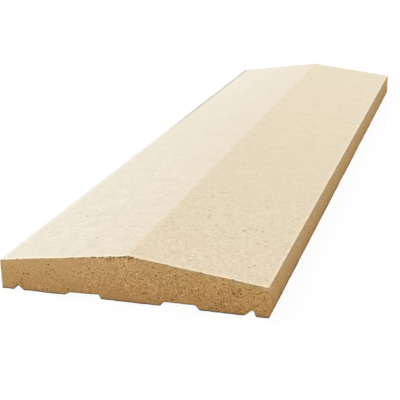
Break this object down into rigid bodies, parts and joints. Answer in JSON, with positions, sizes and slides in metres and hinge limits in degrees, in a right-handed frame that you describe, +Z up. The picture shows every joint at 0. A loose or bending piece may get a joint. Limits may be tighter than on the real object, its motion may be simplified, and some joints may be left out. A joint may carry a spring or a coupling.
{
  "type": "wall coping stone",
  "caption": "Saddleback wall coping stone: a long cast slab whose weathered slopes meet in a ridge, with drip throats under its overhangs and mortar keys in its flat bed.",
  "frame": {"origin": "middle of the bed, the flat underside that lies on the wall", "axes": "+Y along the wall, +X across it, +Z up towards the ridge"},
  "size_m": [0.28, 1, 0.0499],
  "materials": {
    "cast_stone": "matte"
  },
  "bodies": {
    "root": {"coping_stone": "cast_stone"}
  },
  "joints": []
}
